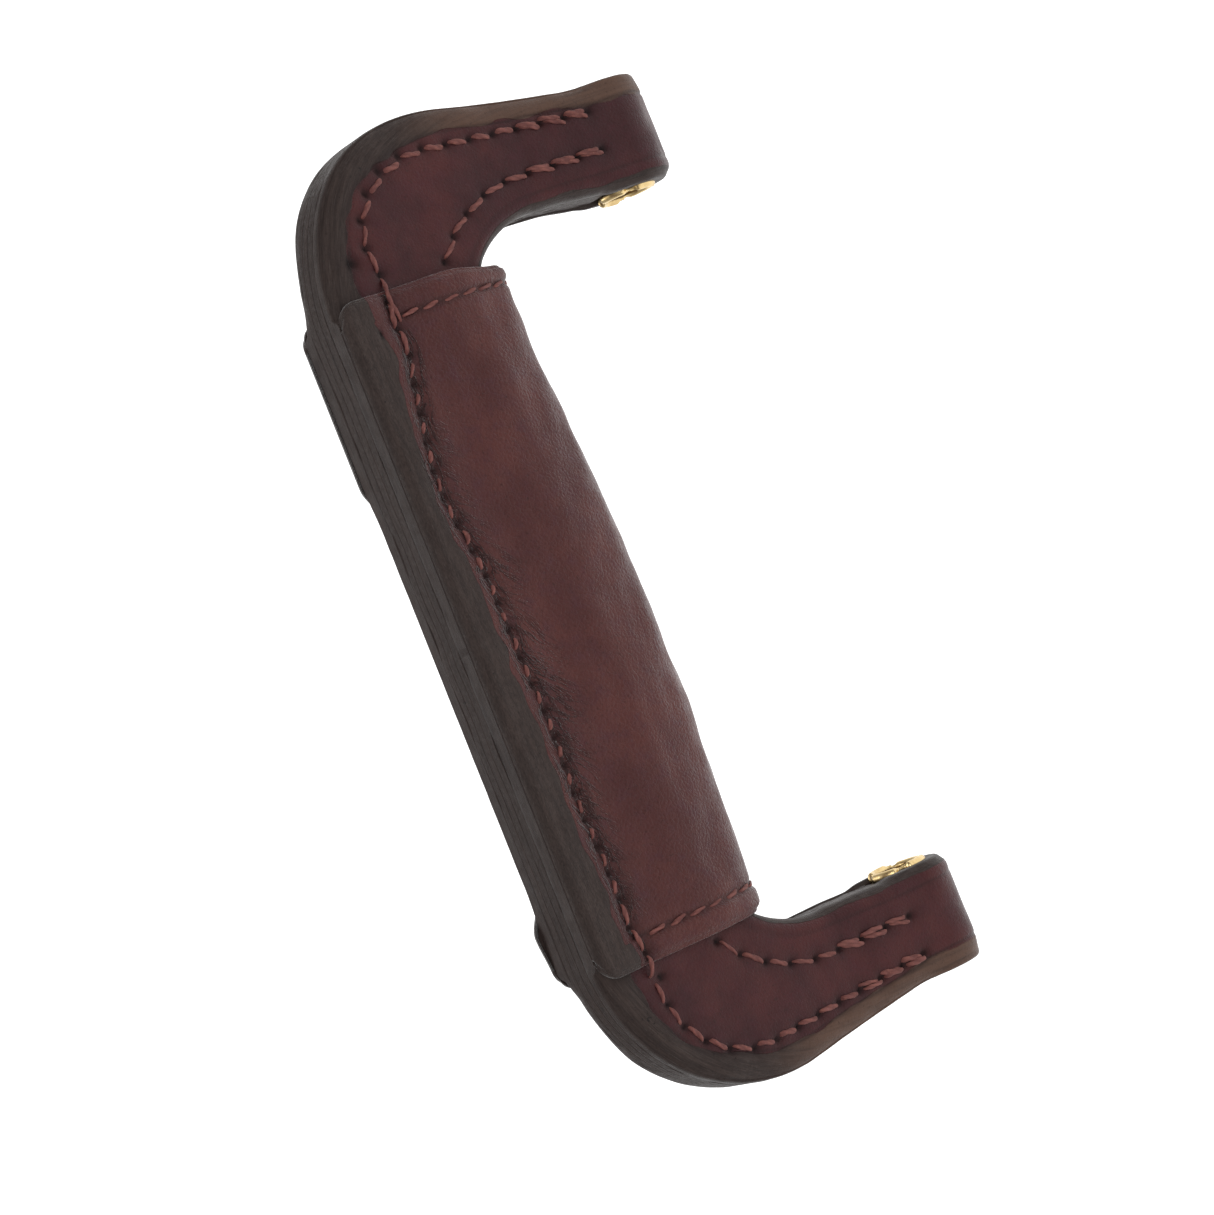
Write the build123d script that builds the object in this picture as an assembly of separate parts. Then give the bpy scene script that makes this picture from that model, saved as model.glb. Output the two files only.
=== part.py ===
from build123d import *

import os
from math import acos, atan2, ceil, cos, hypot, pi, radians, sin, tan

# A hand-stitched leather carrying handle. Units mm. X runs along the length, Y through the
# thickness with the front leaf at -Y, Z up from the lowest point of the two folded loops.

# Leather
COVER_T = 2.7  # thickness of the folded cover leather
CORE_T = 1.6  # thickness of each of the three core layers
WRAP_T = 1.5  # thickness of the grip wrap
BODY_HALF = COVER_T + 1.5 * CORE_T  # half the flat body's thickness

# Loops and their tubes
TUBE_R = 4.1  # outside radius of a tube
BORE_R = 3.2
LIP_R = 4.4  # outside radius of a rolled end
LIP_H = 0.6  # how far a rolled end stands out of the leather
FIT = 0.05  # gap between tube and leather
LOOP_R = TUBE_R + FIT + COVER_T
EYE_Z = LOOP_R
FLARE = radians(6)  # lean of the leaves between fold and flat body
FLARE_BEND = 30.0  # radius where the lean ends

# Outline of the C
LOOP_IN = 51.8  # inner side of an arm
LOOP_OUT = 66.9  # outer side of a loop
LOOP_TOP = 12.0  # where the outer side starts to lean out
CORNER_R = 25.0
CORNER_X, CORNER_Z = 45.0, 37.0
TOP_Z = CORNER_Z + CORNER_R
INNER_R = 15.0
INNER_X = LOOP_IN - INNER_R
INNER_Z = 25.0
EDGE_BEVEL = 1.1  # bevel along the cover's cut edges

# Grip
WRAP_X = 47.6  # half length of the wrap
WRAP_TOP_R = 1.2
PAD_X = 43.4  # half length of the padding, up to the turned hems
PAD_TOP = 51.6
SWELL_Z = 41.5  # height of the fullest part
END_BULGE, MID_BULGE = 7.6, 8.5  # half thickness there, at the ends and in the middle
END_LOW, MID_LOW = 32.8, 30.7  # lowest point of the grip
SHOULDER_Z = 53.2

# Stitching
PITCH = 3.9
THREAD_R = 0.5  # half the width of a run of thread
RUN_H = 0.55  # height of a run above the leather
LIFT = 0.05  # gap under a run
PEG_R = 0.45  # thread inside a needle hole
HOLE_R = 0.5
SEAM_X = 64.8
SEAM_LEAN = 0.062  # how much the seam leans in towards the loop, per mm of height
SEAM_LOW = 12.3
SEAM_R = 14.5
SEAM_CX, SEAM_CZ = SEAM_X - SEAM_R, 39.9
INNER_SEAM_LOW = 12.3
INNER_SEAM_R = 21.0
INNER_SEAM_CX, INNER_SEAM_CZ = 36.5, 26.0
INNER_SEAM_END = 49.3
HEM_X = 44.2
CORE_LOW = 11.3  # lower end of the core layers


def yz(y, z, x=0.0):
    return Vector(x, y, z)


def xz(x, z, y=0.0):
    return Vector(x, y, z)


def leaf_path(half, radius, bend, top=80.0, x=0.0):
    """Closed face of one hairpin contour: two leaves at +-half that lean out to a fold."""
    meet = EYE_Z + radius * sin(FLARE) + (radius * cos(FLARE) - half) / tan(FLARE)
    run = bend * tan(FLARE / 2)
    edges = []
    points = []
    for side in (1, -1):
        high = yz(side * half, meet + run, x)
        low = yz(side * (half + run * sin(FLARE)), meet - run * cos(FLARE), x)
        mid = yz(
            side * (half + bend - bend * cos(FLARE / 2)),
            meet + run - bend * sin(FLARE / 2),
            x,
        )
        touch = yz(side * radius * cos(FLARE), EYE_Z + radius * sin(FLARE), x)
        head = yz(side * half, top, x)
        edges.append(Line(head, high))
        edges.append(ThreePointArc(high, mid, low))
        edges.append(Line(low, touch))
        points.append((head, touch))
    edges.append(ThreePointArc(points[0][1], yz(0, EYE_Z - radius, x), points[1][1]))
    edges.append(Line(points[0][0], points[1][0]))
    return make_face(Curve() + edges)


def hairpin(half, radius, bend, reach=80.0):
    """The contour as a solid along the whole length."""
    return extrude(leaf_path(half, radius, bend, x=-reach), amount=2 * reach, dir=(1, 0, 0))


def tangent_point(px, pz):
    """Where a line from (px, pz) meets the outer corner arc without a kink."""
    dx, dz = px - CORNER_X, pz - CORNER_Z
    angle = atan2(dz, dx) + acos(CORNER_R / hypot(dx, dz))
    return CORNER_X + CORNER_R * cos(angle), CORNER_Z + CORNER_R * sin(angle), angle


def outline():
    """The C seen from the front, as a solid through the thickness."""
    tx, tz, start = tangent_point(LOOP_OUT, LOOP_TOP)
    half_way = (start + pi / 2) / 2
    edges = []
    for side in (1, -1):
        foot_out = xz(side * LOOP_OUT, -5)
        knee = xz(side * LOOP_OUT, LOOP_TOP)
        touch = xz(side * tx, tz)
        mid = xz(
            side * (CORNER_X + CORNER_R * cos(half_way)),
            CORNER_Z + CORNER_R * sin(half_way),
        )
        top = xz(side * CORNER_X, TOP_Z)
        foot_in = xz(side * LOOP_IN, -5)
        bend_low = xz(side * LOOP_IN, INNER_Z)
        bend_mid = xz(
            side * (INNER_X + INNER_R * cos(pi / 4)), INNER_Z + INNER_R * sin(pi / 4)
        )
        bend_top = xz(side * INNER_X, INNER_Z + INNER_R)
        edges.append(Line(foot_out, knee))
        edges.append(Line(knee, touch))
        edges.append(ThreePointArc(touch, mid, top))
        edges.append(Line(foot_out, foot_in))
        edges.append(Line(foot_in, bend_low))
        edges.append(ThreePointArc(bend_low, bend_mid, bend_top))
    edges.append(Line(xz(CORNER_X, TOP_Z), xz(-CORNER_X, TOP_Z)))
    edges.append(Line(xz(INNER_X, INNER_Z + INNER_R), xz(-INNER_X, INNER_Z + INNER_R)))
    face = make_face(Curve() + edges)
    return extrude(face, amount=15, dir=(0, 1, 0), both=True)


def slab(low, high, front, back, reach=80.0):
    """Box from z=low to z=high and y=front to y=back."""
    return Pos(0, (front + back) / 2, (low + high) / 2) * Box(
        2 * reach, back - front, high - low
    )


def face_y(z):
    """Half thickness of the flat body's outside at height z."""
    lean = LOOP_R * cos(FLARE) - (z - EYE_Z - LOOP_R * sin(FLARE)) * tan(FLARE)
    return max(BODY_HALF, lean)


def on_outer_rim(edge):
    """Whether an edge of the cover lies where its outer face meets the cut outline."""
    for share in (0.1, 0.5, 0.9):
        point = edge @ share
        if point.Z > EYE_Z:
            if abs(abs(point.Y) - face_y(point.Z)) > 0.08 and point.Z > EYE_Z + 1:
                return False
        elif abs(hypot(point.Y, point.Z - EYE_Z) - LOOP_R) > 0.05:
            return False
    return True


def grip_section(x, shrink=0.0):
    """Section across the grip at x, shrink smaller than the outside of the wrap."""
    share = 1 - (x / WRAP_X) ** 2
    bulge = END_BULGE + (MID_BULGE - END_BULGE) * share - shrink
    low = END_LOW + (MID_LOW - END_LOW) * share + shrink
    side = BODY_HALF + WRAP_T - shrink
    radius = WRAP_TOP_R
    top = TOP_Z
    ring = [
        (side, SHOULDER_Z),
        (bulge, SWELL_Z),
        (bulge * 0.62, low + (SWELL_Z - low) * 0.22),
        (0, low),
        (-bulge * 0.62, low + (SWELL_Z - low) * 0.22),
        (-bulge, SWELL_Z),
        (-side, SHOULDER_Z),
    ]
    spline = Spline([yz(y, z, x) for y, z in ring], tangents=[(0, 0, -1), (0, 0, 1)])
    corner = radius * (1 - cos(pi / 4))
    edges = [
        spline,
        Line(yz(-side, SHOULDER_Z, x), yz(-side, top - radius, x)),
        ThreePointArc(
            yz(-side, top - radius, x),
            yz(-side + corner, top - corner, x),
            yz(-side + radius, top, x),
        ),
        Line(yz(-side + radius, top, x), yz(side - radius, top, x)),
        ThreePointArc(
            yz(side - radius, top, x),
            yz(side - corner, top - corner, x),
            yz(side, top - radius, x),
        ),
        Line(yz(side, top - radius, x), yz(side, SHOULDER_Z, x)),
    ]
    return make_face(Curve() + edges)


def grip_solid(reach, shrink=0.0):
    """The swelling grip between -reach and reach."""
    stations = [-reach, -0.62 * reach, 0.0, 0.62 * reach, reach]
    return loft([grip_section(x, shrink) for x in stations])


def along(points_of, length, pitch):
    """Evenly spaced stitch points on a path given by its arc length."""
    count = ceil(length / pitch - 0.5)
    return [points_of(length * i / count) for i in range(count + 1)]


def outer_path(s):
    """The long seam: up one arm, round the corner and along the grip to its middle."""
    straight = SEAM_CZ - SEAM_LOW
    turn = SEAM_R * pi / 2
    if s < straight:
        return SEAM_X - SEAM_LEAN * (straight - s), SEAM_LOW + s
    if s < straight + turn:
        angle = (s - straight) / SEAM_R
        return SEAM_CX + SEAM_R * cos(angle), SEAM_CZ + SEAM_R * sin(angle)
    return SEAM_CX - (s - straight - turn), SEAM_CZ + SEAM_R


def inner_path(s):
    """The short seam along an arm's inner side."""
    straight = INNER_SEAM_CZ - INNER_SEAM_LOW
    if s < straight:
        return INNER_SEAM_CX + INNER_SEAM_R, INNER_SEAM_LOW + s
    angle = (s - straight) / INNER_SEAM_R
    return (
        INNER_SEAM_CX + INNER_SEAM_R * cos(angle),
        INNER_SEAM_CZ + INNER_SEAM_R * sin(angle),
    )


def surface_y(x, z):
    """Half thickness of what a stitch at (x, z) lies on."""
    if abs(x) < WRAP_X:
        return BODY_HALF + WRAP_T
    return face_y(z)


def half_round():
    """Section of a run of thread: flat below, round above."""
    return make_face(
        Line((-THREAD_R, 0), (THREAD_R, 0))
        + ThreePointArc((THREAD_R, 0), (0, RUN_H), (-THREAD_R, 0))
    )


def run(a, b, outward):
    """Thread lying flat on the leather from a towards b, rounded on its outward side."""
    axis = (b - a).normalized()
    side = outward.cross(axis).normalized()
    plane = Plane(origin=a, x_dir=side, z_dir=axis)
    return extrude(plane * half_round(), amount=(b - a).length)


def needle_holes(points):
    """One cylinder through the whole thickness at each stitch point."""
    return [Pos(x, 0, z) * Rot(90, 0, 0) * Cylinder(HOLE_R, 24) for x, z in points]


def face_normal(x, z, side):
    """Outward direction of the leather at (x, z) on one face."""
    if abs(x) > WRAP_X and face_y(z) > BODY_HALF + 0.01:
        return Vector(0, side * cos(FLARE), sin(FLARE))
    return Vector(0, side, 0)


def step_over(first, second, side):
    """The run that climbs from the body onto the wrap's end, or back down."""
    low, high = (first, second) if abs(first[0]) > abs(second[0]) else (second, first)
    sign = 1 if low[0] > 0 else -1
    edge = WRAP_X + 0.05
    share = (edge - abs(low[0])) / (abs(high[0]) - abs(low[0]))
    height = low[1] + share * (high[1] - low[1])
    body_y = BODY_HALF + LIFT
    wrap_y = BODY_HALF + WRAP_T + LIFT
    outward = Vector(0, side, 0)
    lower = run(yz(side * body_y, low[1], low[0]), yz(side * body_y, height, sign * edge), outward)
    upper = run(
        yz(side * wrap_y, height, sign * (edge + 0.6)),
        yz(side * wrap_y, high[1], high[0]),
        outward,
    )
    riser = Pos(sign * (edge + 0.3), side * (body_y + wrap_y + RUN_H * 0.8) / 2, height)
    riser *= Box(0.6, wrap_y - body_y + RUN_H * 0.8, 2 * THREAD_R * 0.9)
    return [lower, upper, riser]


def stitches(points):
    """Thread of one seam, stitch by stitch: a peg in each hole and a run on each face."""
    made = []
    for index, (x, z) in enumerate(points):
        depth = surface_y(x, z)
        unit = [Pos(x, 0, z) * Rot(90, 0, 0) * Cylinder(PEG_R, 2 * (depth + 0.3))]
        if index + 1 < len(points):
            second = points[index + 1]
            for side in (1, -1):
                if (abs(x) < WRAP_X) != (abs(second[0]) < WRAP_X):
                    unit += step_over((x, z), second, side)
                    continue
                outward = face_normal(x, (z + second[1]) / 2, side)
                a = yz(side * depth, z, x) + outward * LIFT
                b = yz(side * surface_y(*second), second[1], second[0]) + outward * LIFT
                b = b - (b - a).normalized() * (PEG_R + 0.02)
                doubled = index == 0 or index == len(points) - 2
                if doubled and abs(points[0][0]) > WRAP_X:
                    shift = outward.cross((b - a).normalized()) * 0.3
                    unit += [run(a + shift, b + shift, outward), run(a - shift, b - shift, outward)]
                else:
                    unit.append(run(a, b, outward))
        made.append(one(unit[0].fuse(*unit[1:])) if len(unit) > 1 else one(unit[0]))
    return Compound(made)


def hem_stitches(spots):
    """Thread of one turned hem, stitch by stitch round the wrap's section."""
    made = []
    for index, (point, inward) in enumerate(spots):
        peg = Plane(origin=point - inward * 0.45, z_dir=inward)
        peg *= Cylinder(PEG_R, 1.9, align=(Align.CENTER, Align.CENTER, Align.MIN))
        unit = [peg]
        if index + 1 < len(spots):
            other, other_inward = spots[index + 1]
            outward = (inward + other_inward) * -0.5
            outward = outward.normalized()
            a = point + outward * 0.27
            b = other + outward * 0.27
            b = b - (b - a).normalized() * (PEG_R + 0.12)
            unit.append(run(a, b, outward))
        made.append(one(unit[0].fuse(*unit[1:])) if len(unit) > 1 else one(unit[0]))
    return Compound(made)


def mirrored(points):
    return [(-x, z) for x, z in points]


def rolled_tube(inner, outer):
    """Tube along X with both ends split and rolled outwards in four lobes."""
    tube = Pos((inner + outer) / 2, 0, EYE_Z) * Rot(0, 90, 0) * Cylinder(TUBE_R, outer - inner)
    lip_r = 0.25
    for face, out in ((inner, -1), (outer, 1)):
        lip = Pos(face + out * LIP_H / 2, 0, EYE_Z) * Rot(0, 90, 0) * Cylinder(LIP_R, LIP_H)
        rim = lip.edges().filter_by(GeomType.CIRCLE).sort_by(Axis.X)
        lip = fillet(rim[-1] if out > 0 else rim[0], lip_r)
        for turn in range(4):
            notch = Box(LIP_H + 0.02, 0.9, 2.0)
            spot = Pos(face + out * LIP_H / 2, 0, EYE_Z)
            spin = Rot(45 + 90 * turn, 0, 0)
            lip -= spot * spin * Pos(0, 0, BORE_R + 0.5 + 1.0) * notch
        tube += lip
    bore = Rot(0, 90, 0) * Cylinder(BORE_R, outer - inner + 4)
    return tube - Pos((inner + outer) / 2, 0, EYE_Z) * bore


def hem_points(x):
    """Stitch points round the wrap at x, as (point, inward normal)."""
    curve = max(grip_section(x).edges(), key=lambda edge: edge.length)
    length = curve.length
    spare = 0.4
    count = round((length - 2 * spare) / (PITCH * 0.86))
    found = []
    for index in range(count + 1):
        share = (spare + (length - 2 * spare) * index / count) / length
        point = curve @ share
        along_it = curve % share
        inward = Vector(0, -along_it.Z, along_it.Y)
        if inward.dot(Vector(x, 0, SWELL_Z) - point) < 0:
            inward = inward * -1
        found.append((point, inward))
    return found


def one(shape):
    """The largest solid of a boolean result, without stray chips."""
    return max(shape.solids(), key=lambda solid: solid.volume)


def without(shape, *others):
    for other in others:
        shape = shape - other
    return one(shape)


def save(name, shape):
    export_step(shape, f"parts/{name}.step")


os.makedirs("parts", exist_ok=True)

c_shape = outline()
outside = hairpin(BODY_HALF, LOOP_R, FLARE_BEND - COVER_T / 2)
inside = hairpin(BODY_HALF - COVER_T, LOOP_R - COVER_T, FLARE_BEND + COVER_T / 2)
middle_half = BODY_HALF - COVER_T - CORE_T
middle = hairpin(middle_half, LOOP_R - COVER_T - CORE_T, FLARE_BEND + COVER_T / 2 + CORE_T)

cover = one((outside & c_shape) - inside)


rims = [edge for edge in cover.edges() if on_outer_rim(edge) and edge.length > 0.3]
rims = [edge for edge in rims if abs((edge % 0.5).X) < 0.999 or (edge @ 0.5).Z > 40]
cover = one(chamfer(rims, EDGE_BEVEL))

core = (inside & c_shape) & slab(CORE_LOW, TOP_Z + 1, -10, 10)
core -= Rot(0, 90, 0) * Pos(-EYE_Z, 0, 0) * Cylinder(TUBE_R + 0.1, 160)
core_middle = one(core & middle)
core_sides = core - middle
core_front = one(core_sides & slab(0, 80, -10, 0))
core_back = one(core_sides & slab(0, 80, 0, 10))

half_length = (SEAM_CZ - SEAM_LOW) + SEAM_R * pi / 2 + SEAM_CX
half_row = along(outer_path, half_length, PITCH)
outer_row = half_row + mirrored(half_row[-2::-1])
inner_turn = acos((INNER_SEAM_END - INNER_SEAM_CX) / INNER_SEAM_R)
inner_length = INNER_SEAM_CZ - INNER_SEAM_LOW + INNER_SEAM_R * inner_turn
inner_row = along(inner_path, inner_length, PITCH)
rows = {
    "outer_seam": outer_row,
    "inner_seam_left": mirrored(inner_row),
    "inner_seam_right": inner_row,
}
holes = [hole for row in rows.values() for hole in needle_holes(row)]

bar = [cover, core_front, core_middle, core_back]
full_grip = grip_solid(WRAP_X)
hollow = grip_solid(PAD_X, WRAP_T) & slab(0, PAD_TOP, -20, 20)
padding = without(hollow, *bar)
above = slab(TOP_Z - 5, TOP_Z + 5, -20, 20) - c_shape
wrap = without(full_grip, hollow, above, *bar)

hems = {}
pricks = []
for name, x in (("left", -HEM_X), ("right", HEM_X)):
    spots = hem_points(x)
    hems[f"hem_seam_{name}"] = spots
    for point, inward in spots:
        prick = Plane(origin=point - inward * 0.3, z_dir=inward)
        pricks.append(prick * Cylinder(HOLE_R, 2.6, align=(Align.CENTER,) * 2 + (Align.MIN,)))
wrap = one(wrap - pricks)
padding = one(padding - pricks)

leathers = {}
for name, solid in zip(("cover", "core_front", "core_middle", "core_back"), bar):
    leathers[name] = one(solid - holes)
leathers["grip_wrap"] = one(wrap - holes)
leathers["grip_padding"] = padding

for name, solid in leathers.items():
    save(name, solid)
for name, row in rows.items():
    save(name, stitches(row))
for name, spots in hems.items():
    save(name, hem_stitches(spots))

right_tube = rolled_tube(LOOP_IN, LOOP_OUT)
save("eye_tube_right", one(right_tube))
save("eye_tube_left", one(mirror(right_tube, Plane.YZ)))
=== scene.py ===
import math

import bpy
import numpy as np
from mathutils import Matrix, Vector


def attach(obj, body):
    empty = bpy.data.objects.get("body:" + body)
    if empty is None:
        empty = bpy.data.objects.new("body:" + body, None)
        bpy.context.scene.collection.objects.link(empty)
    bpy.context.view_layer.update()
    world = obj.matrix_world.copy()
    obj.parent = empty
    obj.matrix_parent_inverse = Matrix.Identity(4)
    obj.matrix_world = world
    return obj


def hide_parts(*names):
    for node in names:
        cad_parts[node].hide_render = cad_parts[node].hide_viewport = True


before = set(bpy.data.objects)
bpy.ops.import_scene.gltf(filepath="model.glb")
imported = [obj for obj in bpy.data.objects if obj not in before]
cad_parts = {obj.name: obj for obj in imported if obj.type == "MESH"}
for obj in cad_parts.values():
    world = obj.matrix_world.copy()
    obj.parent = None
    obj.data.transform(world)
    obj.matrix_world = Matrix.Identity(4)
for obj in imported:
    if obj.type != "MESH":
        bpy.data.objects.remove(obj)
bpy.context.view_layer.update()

MM = 0.001

# ---------------------------------------------------------------- sizes, in mm, as in the CAD
COVER_T = 2.7
CORE_T = 1.6
WRAP_T = 1.5
BODY_HALF = COVER_T + 1.5 * CORE_T
TUBE_R = 4.1
BORE_R = 3.2
LOOP_R = 6.85
EYE_Z = 6.85
FLARE = math.radians(6)
LOOP_IN, LOOP_OUT, LOOP_TOP = 51.8, 66.9, 12.0
CORNER_X, CORNER_Z, CORNER_R = 45.0, 37.0, 25.0
INNER_X, INNER_Z, INNER_R = 36.8, 25.0, 15.0
TOP_Z = 62.0
CORE_LOW = 11.3
WRAP_X = 47.6
SWELL_Z = 41.5
SHOULDER_Z = 53.2
END_BULGE, MID_BULGE = 7.6, 8.5
END_LOW, MID_LOW = 32.8, 30.7
PITCH = 3.9
SEAM_X, SEAM_LOW, SEAM_R, SEAM_CZ = 64.8, 12.3, 14.5, 39.9
SEAM_LEAN = 0.062
SEAM_CX = SEAM_X - SEAM_R
GRIP_SEAM_Z = SEAM_CZ + SEAM_R
INNER_SEAM_LOW, INNER_SEAM_R = 12.3, 21.0
INNER_SEAM_CX, INNER_SEAM_CZ, INNER_SEAM_END = 36.5, 26.0, 49.3
HEM_X = 44.2


# ---------------------------------------------------------------- small tools
def smooth(x, low, high):
    t = np.clip((x - low) / (high - low), 0.0, 1.0)
    return t * t * (3 - 2 * t)


def bell(x, centre, width):
    """A smooth bump, 1 high at the centre."""
    return np.exp(-(((x - centre) / width) ** 2))


class Waves:
    """Smooth seeded noise: a sum of sine waves in random directions, about -1 to 1."""

    def __init__(self, size, seed, count=14):
        own = np.random.default_rng(seed)
        way = own.normal(size=(count, 3))
        way /= np.linalg.norm(way, axis=1)[:, None]
        self.way = way * (2 * math.pi / size) * own.uniform(0.6, 1.6, (count, 1))
        self.phase = own.uniform(0, 2 * math.pi, count)
        self.scale = math.sqrt(2.0 / count)

    def __call__(self, points):
        flat = np.asarray(points, float)
        return np.sin(flat @ self.way.T + self.phase).sum(-1) * self.scale * 0.7


def add_mesh(name, verts, faces, material, nodes=(), attributes=None):
    """A new piece from points in mm, riding on the one body."""
    mesh = bpy.data.meshes.new(name)
    verts = np.asarray(verts, float)
    mesh.vertices.add(len(verts))
    mesh.vertices.foreach_set("co", (verts * MM).ravel().astype(np.float32))
    sizes = np.array([len(f) for f in faces])
    loops = np.concatenate([np.asarray(f) for f in faces])
    mesh.loops.add(len(loops))
    mesh.loops.foreach_set("vertex_index", loops.astype(np.int32))
    mesh.polygons.add(len(faces))
    starts = np.concatenate([[0], np.cumsum(sizes)[:-1]])
    mesh.polygons.foreach_set("loop_start", starts.astype(np.int32))
    mesh.update(calc_edges=True)
    mesh.validate()
    mesh.polygons.foreach_set("use_smooth", np.ones(len(mesh.polygons), bool))
    for key, values in (attributes or {}).items():
        values = np.asarray(values, float)
        kind = "FLOAT_VECTOR" if values.ndim == 2 else "FLOAT"
        data = mesh.attributes.new(key, kind, "POINT").data
        data.foreach_set("vector" if values.ndim == 2 else "value", values.ravel().astype(np.float32))
    piece = bpy.data.objects.new(name, mesh)
    bpy.context.scene.collection.objects.link(piece)
    mesh.materials.append(material)
    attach(piece, "root")
    if nodes:
        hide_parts(*nodes)
    return piece


def grid_faces(rows, columns, close_rows, close_columns, start=0):
    """Quads of a grid whose point (i, j) has number start + i * columns + j."""
    i = np.arange(rows if close_rows else rows - 1)
    j = np.arange(columns if close_columns else columns - 1)
    i, j = np.meshgrid(i, j, indexing="ij")
    i, j = i.ravel(), j.ravel()
    a = i * columns + j
    b = ((i + 1) % rows) * columns + j
    c = ((i + 1) % rows) * columns + (j + 1) % columns
    d = i * columns + (j + 1) % columns
    return (np.stack([a, b, c, d], 1) + start).tolist()


# ---------------------------------------------------------------- materials
def new_material(name):
    material = bpy.data.materials.new(name)
    material.use_nodes = True
    tree = material.node_tree
    return material, tree, tree.nodes["Principled BSDF"]


def node(tree, kind, **values):
    made = tree.nodes.new(kind)
    for key, value in values.items():
        if key in made.inputs:
            made.inputs[key].default_value = value
        else:
            setattr(made, key, value)
    return made


def attribute(tree, name, output="Fac"):
    return node(tree, "ShaderNodeAttribute", attribute_name=name).outputs[output]


def math_node(tree, operation, a, b=0.0):
    made = tree.nodes.new("ShaderNodeMath")
    made.operation = operation
    for socket, value in zip(made.inputs, (a, b)):
        if isinstance(value, (int, float)):
            socket.default_value = value
        else:
            tree.links.new(value, socket)
    return made.outputs[0]


def plus(tree, a, b):
    return math_node(tree, "ADD", a, b)


def minus(tree, a, b):
    return math_node(tree, "SUBTRACT", a, b)


def times(tree, a, b):
    return math_node(tree, "MULTIPLY", a, b)


def mix_colour(tree, factor, a, b, blend="MIX"):
    made = tree.nodes.new("ShaderNodeMix")
    made.data_type = "RGBA"
    made.blend_type = blend
    for socket, value in ((made.inputs[0], factor), (made.inputs[6], a), (made.inputs[7], b)):
        if isinstance(value, (int, float)):
            socket.default_value = value
        elif isinstance(value, tuple):
            socket.default_value = (*value, 1.0)
        else:
            tree.links.new(value, socket)
    return made.outputs[2]


def noise(tree, scale, detail=4.0, rough=0.55, vector=None, distortion=0.0):
    made = node(tree, "ShaderNodeTexNoise")
    made.inputs["Scale"].default_value = scale
    made.inputs["Detail"].default_value = detail
    made.inputs["Roughness"].default_value = rough
    made.inputs["Distortion"].default_value = distortion
    if vector is None:
        vector = object_space(tree)
    tree.links.new(vector, made.inputs["Vector"])
    return made.outputs["Fac"]


def object_space(tree):
    for found in tree.nodes:
        if found.bl_idname == "ShaderNodeTexCoord":
            return found.outputs["Object"]
    return tree.nodes.new("ShaderNodeTexCoord").outputs["Object"]


def stretched(tree, vector, scale):
    made = tree.nodes.new("ShaderNodeMapping")
    made.inputs["Scale"].default_value = scale
    tree.links.new(vector, made.inputs["Vector"])
    return made.outputs[0]


def voronoi(tree, scale, feature="F1", vector=None, randomness=1.0):
    made = node(tree, "ShaderNodeTexVoronoi", feature=feature)
    made.inputs["Scale"].default_value = scale
    made.inputs["Randomness"].default_value = randomness
    tree.links.new(vector or object_space(tree), made.inputs["Vector"])
    return made.outputs["Distance"]


def shifted(tree, scale):
    """Object space pushed about a little, so cells do not line up."""
    wander = node(tree, "ShaderNodeTexNoise")
    wander.inputs["Scale"].default_value = scale * 0.4
    tree.links.new(object_space(tree), wander.inputs["Vector"])
    nudge = tree.nodes.new("ShaderNodeVectorMath")
    nudge.operation = "MULTIPLY_ADD"
    tree.links.new(wander.outputs["Color"], nudge.inputs[0])
    nudge.inputs[1].default_value = (0.0006, 0.0006, 0.0006)
    tree.links.new(object_space(tree), nudge.inputs[2])
    return nudge.outputs[0]


def ramp(tree, value, low, high, bottom=0.0, top=1.0):
    made = tree.nodes.new("ShaderNodeMapRange")
    made.interpolation_type = "SMOOTHSTEP"
    for socket, number in zip(made.inputs[1:5], (low, high, bottom, top)):
        socket.default_value = number
    tree.links.new(value, made.inputs[0])
    return made.outputs[0]


def bump(tree, height, strength, distance, normal=None):
    made = node(tree, "ShaderNodeBump")
    made.inputs["Strength"].default_value = strength
    made.inputs["Distance"].default_value = distance
    tree.links.new(height, made.inputs["Height"])
    if normal is not None:
        tree.links.new(normal, made.inputs["Normal"])
    return made.outputs[0]


def wire(tree, shader, colour, normal, roughness, **fixed):
    """Connect the shader's three varying inputs and set its uniform ones."""
    tree.links.new(colour, shader.inputs["Base Color"])
    tree.links.new(normal, shader.inputs["Normal"])
    tree.links.new(roughness, shader.inputs["Roughness"])
    for name, value in fixed.items():
        shader.inputs[UNIFORM[name]].default_value = value


UNIFORM = {
    "specular": "Specular IOR Level", "sheen": "Sheen Weight",
    "sheen_rough": "Sheen Roughness", "metallic": "Metallic",
}

# noise and cell scales below are per metre in object space, or per mm along an attribute
EDGE_DARK = (0.018, 0.0110, 0.0095)
EDGE_LIGHT = (0.042, 0.0280, 0.0240)
EDGE_TAN = (0.088, 0.0470, 0.0320)
BODY_DEEP = (0.030, 0.0065, 0.0080)
BODY_WARM = (0.056, 0.0120, 0.0120)
BODY_VIOLET = (0.045, 0.009, 0.013)
WRAP_DEEP = (0.056, 0.0160, 0.0150)
WRAP_WARM = (0.078, 0.0230, 0.0200)
WRAP_VIOLET = (0.056, 0.0180, 0.0240)


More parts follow.
